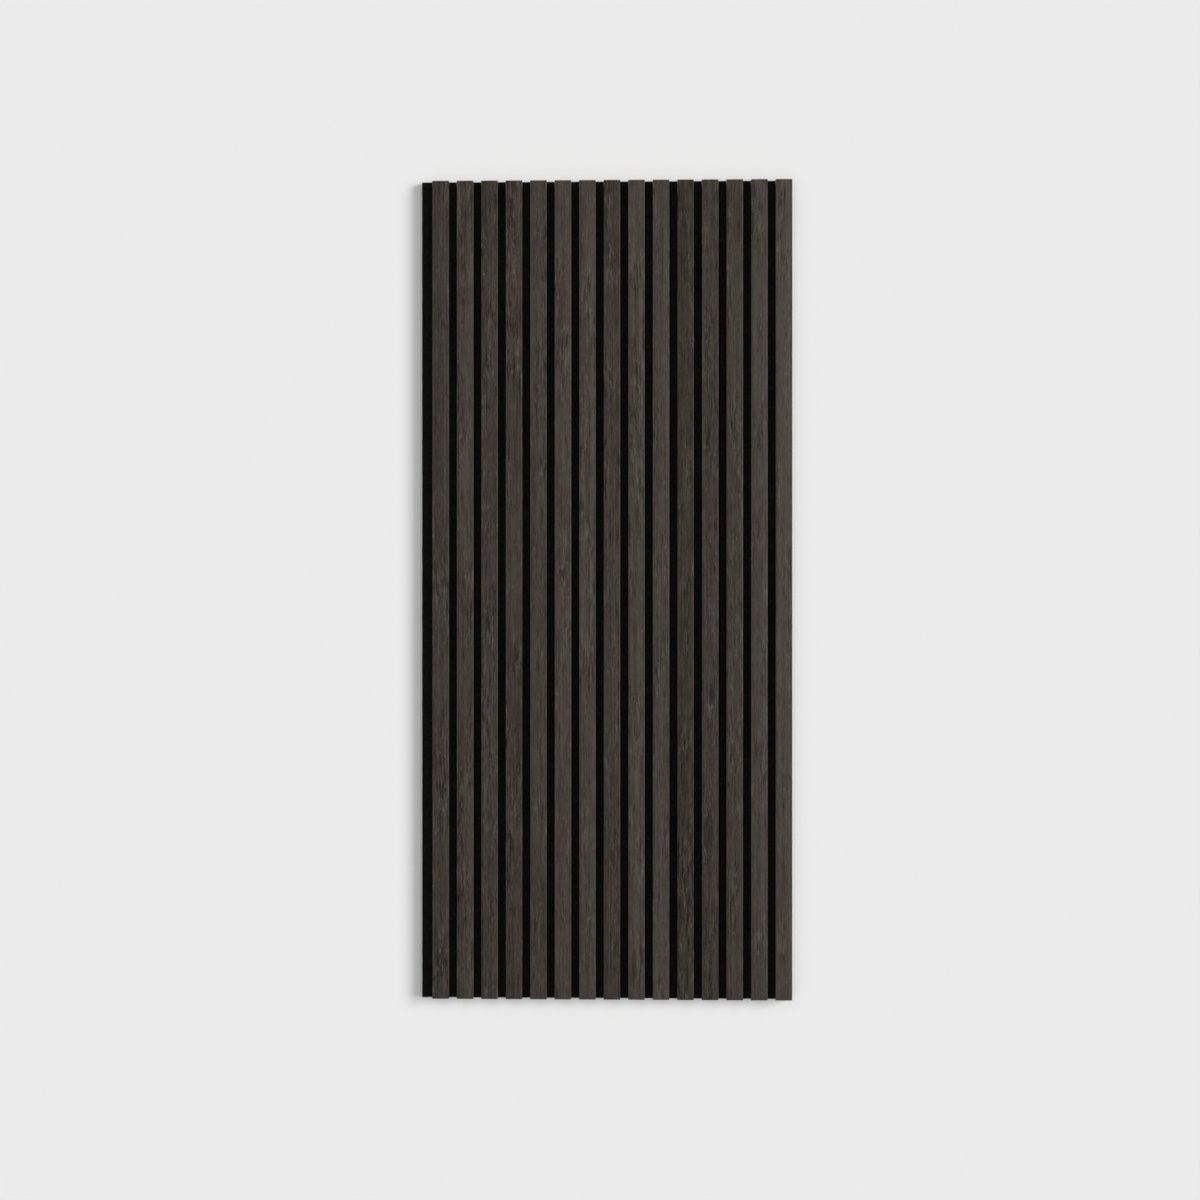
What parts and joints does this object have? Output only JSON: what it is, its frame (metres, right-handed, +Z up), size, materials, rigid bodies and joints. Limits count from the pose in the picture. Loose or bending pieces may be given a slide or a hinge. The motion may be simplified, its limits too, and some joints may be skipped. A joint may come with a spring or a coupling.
{
  "type": "acoustic slat wall panel",
  "caption": "Upright wood-veneered slats stapled side by side to a sheet of black sound-absorbing felt, with one bare felt edge for the next panel.",
  "frame": {"origin": "centre of the felt's back face, which lies on the wall", "axes": "+Z up along the slats, +Y into the wall, +X to the right of someone who faces the panel"},
  "size_m": [0.605, 0.021, 1.336],
  "materials": {
    "smoked_veneer": "matt oiled",
    "fibreboard": "sawn, uncoated",
    "black_felt": "needled fibre",
    "staple_wire": "galvanised"
  },
  "bodies": {
    "root": {"felt_backing": "black_felt", "slat_core_01": "fibreboard", "slat_core_02": "fibreboard", "slat_core_03": "fibreboard", "slat_core_04": "fibreboard", "slat_core_05": "fibreboard", "slat_core_06": "fibreboard", "slat_core_07": "fibreboard", "slat_core_08": "fibreboard", "slat_core_09": "fibreboard", "slat_core_10": "fibreboard", "slat_core_11": "fibreboard", "slat_core_12": "fibreboard", "slat_core_13": "fibreboard", "slat_core_14": "fibreboard", "slat_core_15": "fibreboard", "slat_veneer_01": "smoked_veneer", "slat_veneer_02": "smoked_veneer", "slat_veneer_03": "smoked_veneer", "slat_veneer_04": "smoked_veneer", "slat_veneer_05": "smoked_veneer", "slat_veneer_06": "smoked_veneer", "slat_veneer_07": "smoked_veneer", "slat_veneer_08": "smoked_veneer", "slat_veneer_09": "smoked_veneer", "slat_veneer_10": "smoked_veneer", "slat_veneer_11": "smoked_veneer", "slat_veneer_12": "smoked_veneer", "slat_veneer_13": "smoked_veneer", "slat_veneer_14": "smoked_veneer", "slat_veneer_15": "smoked_veneer", "staple_row_1": "staple_wire", "staple_row_2": "staple_wire", "staple_row_3": "staple_wire", "staple_row_4": "staple_wire"}
  },
  "joints": []
}
